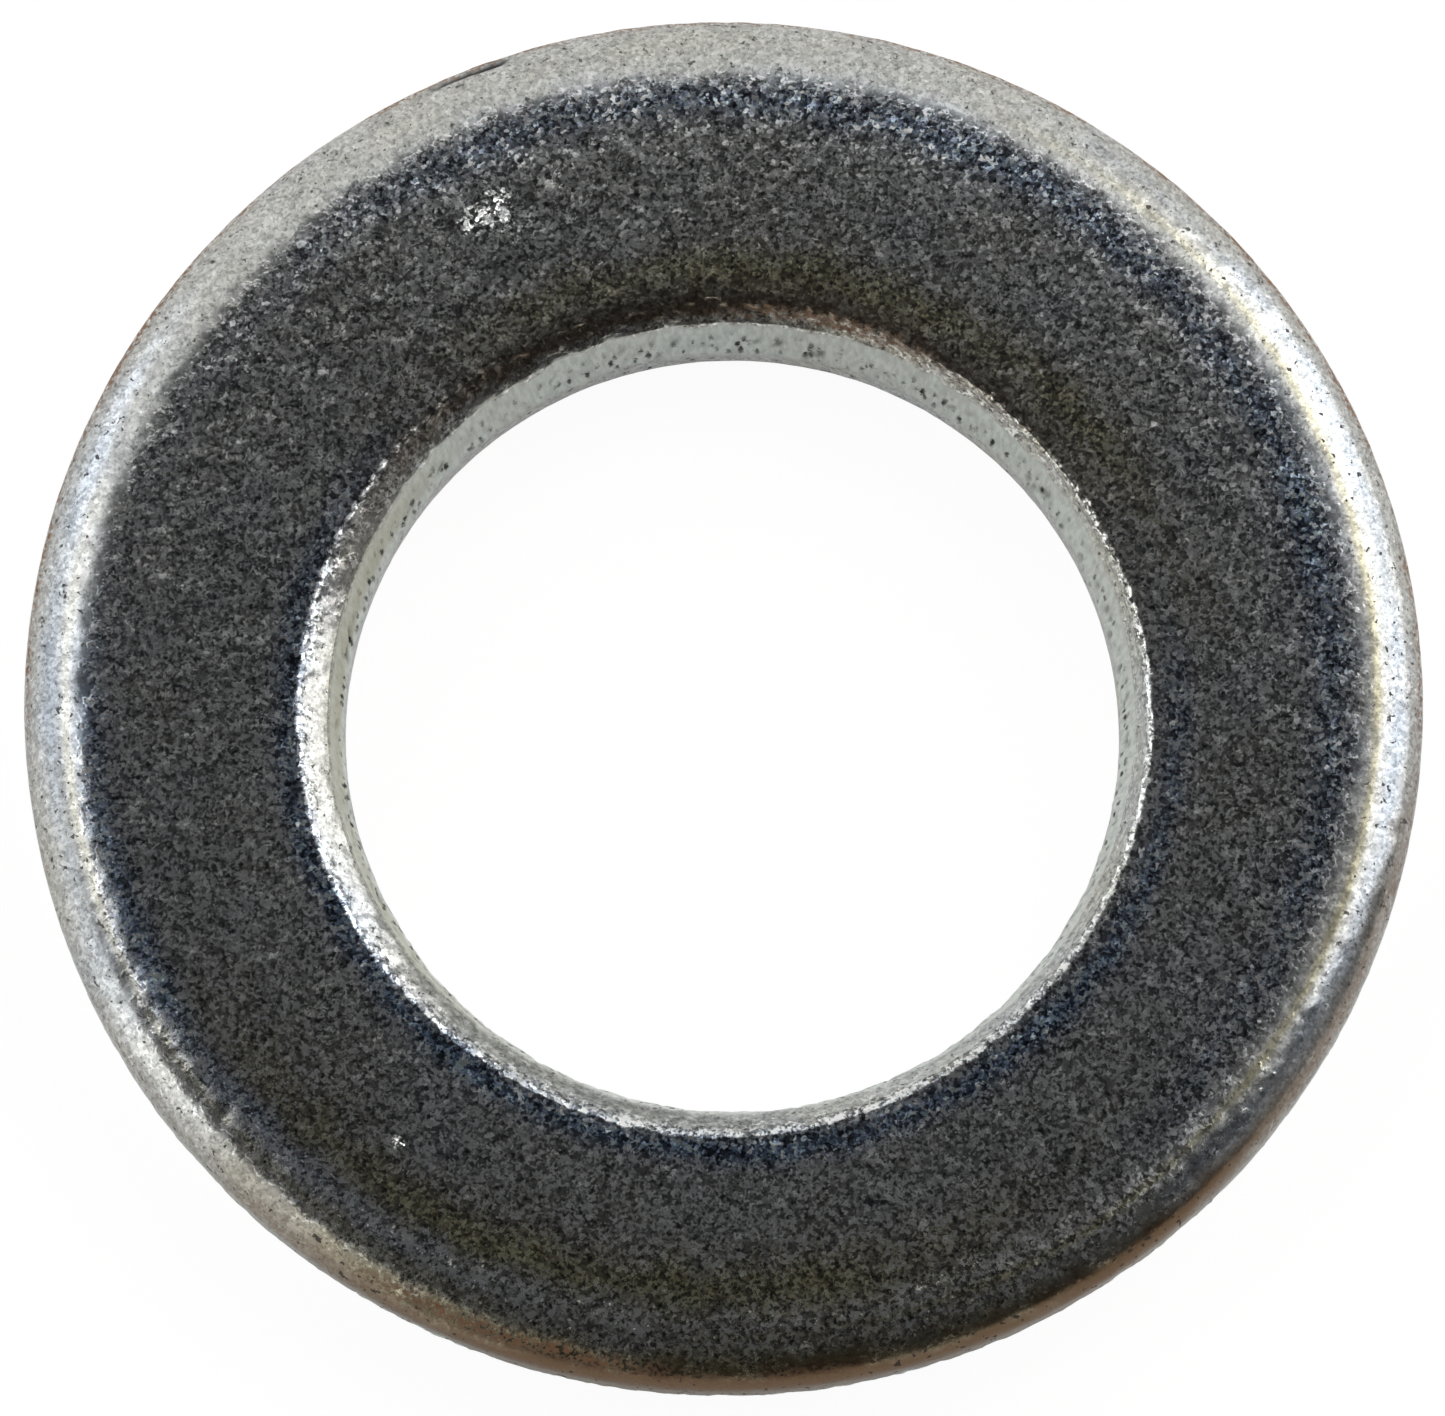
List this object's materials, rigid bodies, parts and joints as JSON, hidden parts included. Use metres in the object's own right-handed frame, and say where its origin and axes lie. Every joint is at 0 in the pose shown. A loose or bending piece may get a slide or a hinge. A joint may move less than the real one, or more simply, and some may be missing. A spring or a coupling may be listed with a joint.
{
  "type": "flat washer",
  "caption": "Plain round flat washer of zinc-plated steel, with a rolled outer rim and a round bore with a rounded mouth.",
  "frame": {"origin": "centre of the round outline, on the sharp-edged face that the washer rests on", "axes": "+Z is the washer's axis, out of the face with the rounded edges; the bore's axis is parallel to it and 0.38 mm off, mostly towards -Y"},
  "size_m": [0.024, 0.024, 0.0025],
  "materials": {
    "zinc_plate": "dull zinc plate over punched steel, finely grained on the faces and smoother on the rolled edges"
  },
  "bodies": {
    "root": {"washer_ring": "zinc_plate"}
  },
  "joints": []
}
